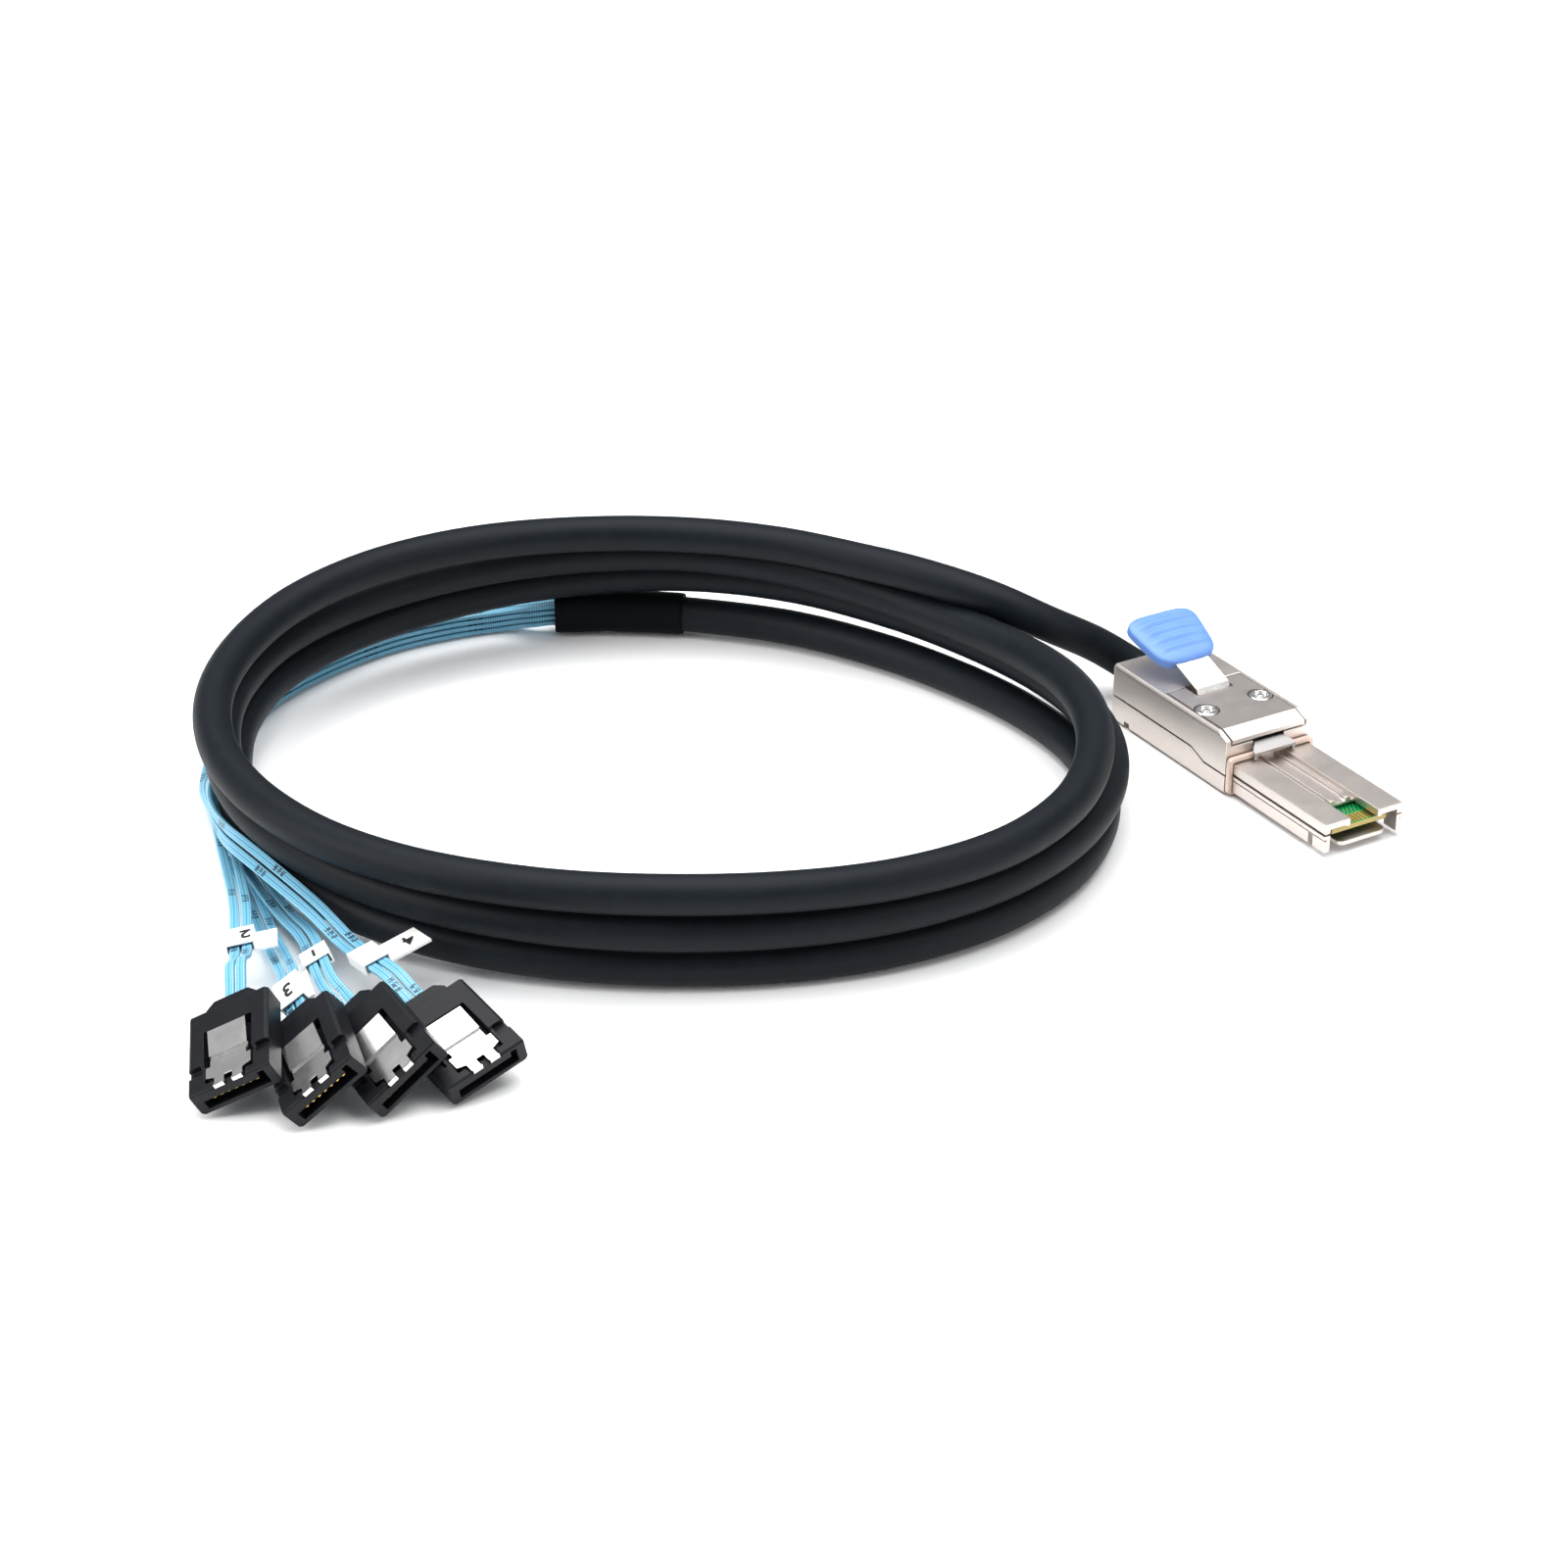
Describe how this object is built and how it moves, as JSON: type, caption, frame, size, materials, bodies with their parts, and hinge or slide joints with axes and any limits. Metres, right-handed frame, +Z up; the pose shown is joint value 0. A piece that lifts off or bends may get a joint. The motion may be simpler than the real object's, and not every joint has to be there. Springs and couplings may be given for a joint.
{
  "type": "mini sas breakout cable",
  "caption": "Shielded plug with a blue pull tab on a coiled black round cable that splits into blue ribbons ending in small latching connectors.",
  "frame": {"origin": "on the table, under the middle of the whole cable", "axes": "+X to the right of the picture, from the coil towards the shielded plug; +Y away from the viewer; +Z up"},
  "size_m": [0.2178, 0.1862, 0.0301],
  "materials": {
    "nickel": "satin nickel",
    "bright_steel": "bright",
    "dark_steel": "satin",
    "gasket": "conductive gasket, copper pink",
    "blue_plastic": "light blue, satin",
    "board": "green solder mask",
    "potting": "off white",
    "jacket": "black, slightly glossy",
    "shrink_sleeve": "black, dull",
    "ribbon_blue": "light blue",
    "label_paper": "white",
    "black_plastic": "black",
    "contact_gold": "gold plated"
  },
  "bodies": {
    "cable": {"plug_lower_shell": "nickel", "plug_upper_shell": "nickel", "plug_cover_plate": "nickel", "cover_boss_left": "bright_steel", "cover_boss_right": "bright_steel", "emi_gasket": "gasket", "paddle_card": "board", "wire_block": "potting", "crimp_ring": "dark_steel", "main_cable": "jacket", "breakout_sleeve": "shrink_sleeve", "ribbon_a_left": "ribbon_blue", "ribbon_a_right": "ribbon_blue", "label_a": "label_paper", "housing_a": "black_plastic", "ribbon_clamp_a": "black_plastic", "contacts_a": "contact_gold", "ribbon_b_left": "ribbon_blue", "ribbon_b_right": "ribbon_blue", "label_b": "label_paper", "housing_b": "black_plastic", "ribbon_clamp_b": "black_plastic", "contacts_b": "contact_gold", "ribbon_c_left": "ribbon_blue", "ribbon_c_right": "ribbon_blue", "label_c": "label_paper", "housing_c": "black_plastic", "ribbon_clamp_c": "black_plastic", "contacts_c": "contact_gold", "ribbon_d_left": "ribbon_blue", "ribbon_d_right": "ribbon_blue", "label_d": "label_paper", "housing_d": "black_plastic", "ribbon_clamp_d": "black_plastic", "contacts_d": "contact_gold"},
    "pull": {"pull_tab": "blue_plastic", "release_strap": "bright_steel"},
    "lever": {"latch_lever": "dark_steel"},
    "latch_a": {"latch_a": "bright_steel"},
    "latch_b": {"latch_b": "bright_steel"},
    "latch_c": {"latch_c": "bright_steel"},
    "latch_d": {"latch_d": "bright_steel"}
  },
  "joints": [
    {"name": "release_pull", "type": "slide", "parent": "cable", "child": "pull", "axis": [-0.509, 0.8607, 0], "range_m": [0, 0.0025], "stiffness_N_per_m": 100},
    {"name": "lever_lift", "type": "hinge", "parent": "cable", "child": "lever", "pos_m": [0.08076, 0.03433, 0.0089], "axis": [-0.8607, -0.509, 0], "range_deg": [0, 3.2], "stiffness_Nm_per_rad": 0.02},
    {"name": "latch_a_press", "type": "hinge", "parent": "cable", "child": "latch_a", "pos_m": [-0.08843, -0.08812, 0.00784], "axis": [-0.8986, -0.0246, -0.438], "range_deg": [0, 5], "stiffness_Nm_per_rad": 0.02},
    {"name": "latch_b_press", "type": "hinge", "parent": "cable", "child": "latch_b", "pos_m": [-0.07466, -0.09073, 0.00859], "axis": [-0.752, -0.1826, -0.6334], "range_deg": [0, 5], "stiffness_Nm_per_rad": 0.02},
    {"name": "latch_c_press", "type": "hinge", "parent": "cable", "child": "latch_c", "pos_m": [-0.06219, -0.08733, 0.00843], "axis": [-0.7139, -0.3646, -0.5978], "range_deg": [0, 5], "stiffness_Nm_per_rad": 0.02},
    {"name": "latch_d_press", "type": "hinge", "parent": "cable", "child": "latch_d", "pos_m": [-0.04952, -0.08186, 0.00676], "axis": [-0.786, -0.5519, -0.2786], "range_deg": [0, 5], "stiffness_Nm_per_rad": 0.02}
  ],
  "couplings": [
    {"joint": "lever_lift", "follows": "release_pull", "rad_per_m": 22.3}
  ]
}
